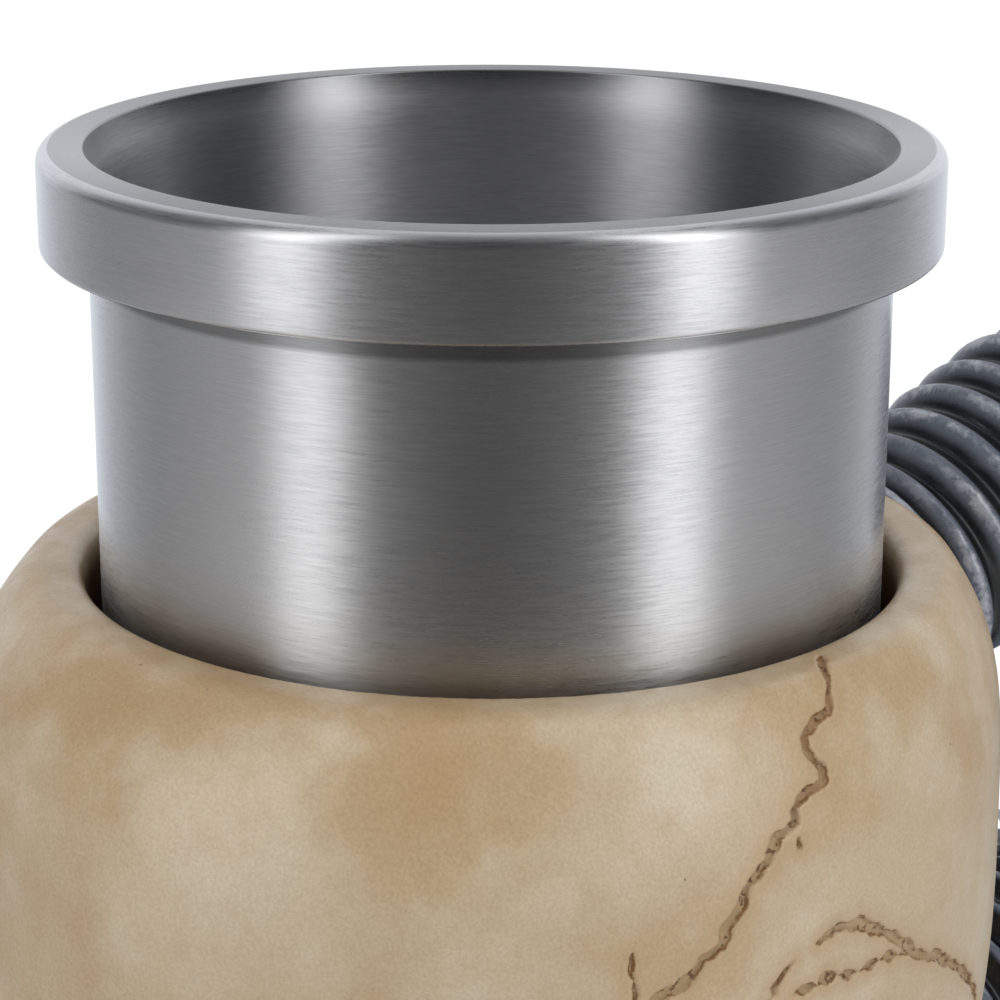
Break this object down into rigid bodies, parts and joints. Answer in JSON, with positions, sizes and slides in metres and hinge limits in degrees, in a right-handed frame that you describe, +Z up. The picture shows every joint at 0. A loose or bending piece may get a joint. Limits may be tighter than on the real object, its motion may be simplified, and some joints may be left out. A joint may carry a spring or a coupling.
{
  "type": "skull mug",
  "caption": "Cast skull mug with a lift-out steel cup that rises from a round pocket in the crown, and a ribbed hose-shaped loop handle at the back.",
  "frame": {"origin": "underside of the base pad, on the cup axis", "axes": "+Z up along the cup axis, -Y the way the face looks, +Y toward the handle, +X the skull's left"},
  "size_m": [0.1066, 0.1935, 0.15],
  "materials": {
    "bone_resin": "hand-washed satin",
    "brushed_steel": "brushed round the axis",
    "black_resin": "black with silver rubbed on the crests",
    "pin_steel": "plain drawn rod",
    "felt": "felt"
  },
  "bodies": {
    "mug_body": {"skull_casting": "bone_resin", "hose_handle": "black_resin", "upper_hose_collar": "black_resin", "lower_hose_collar": "black_resin", "upper_hose_pin": "pin_steel", "lower_hose_pin": "pin_steel", "base_pad": "felt"},
    "insert": {"insert_cup": "brushed_steel"}
  },
  "joints": [
    {"name": "insert_lift", "type": "slide", "parent": "mug_body", "child": "insert", "axis": [0, 0, 1], "range_m": [-0.032, 0.055]}
  ]
}
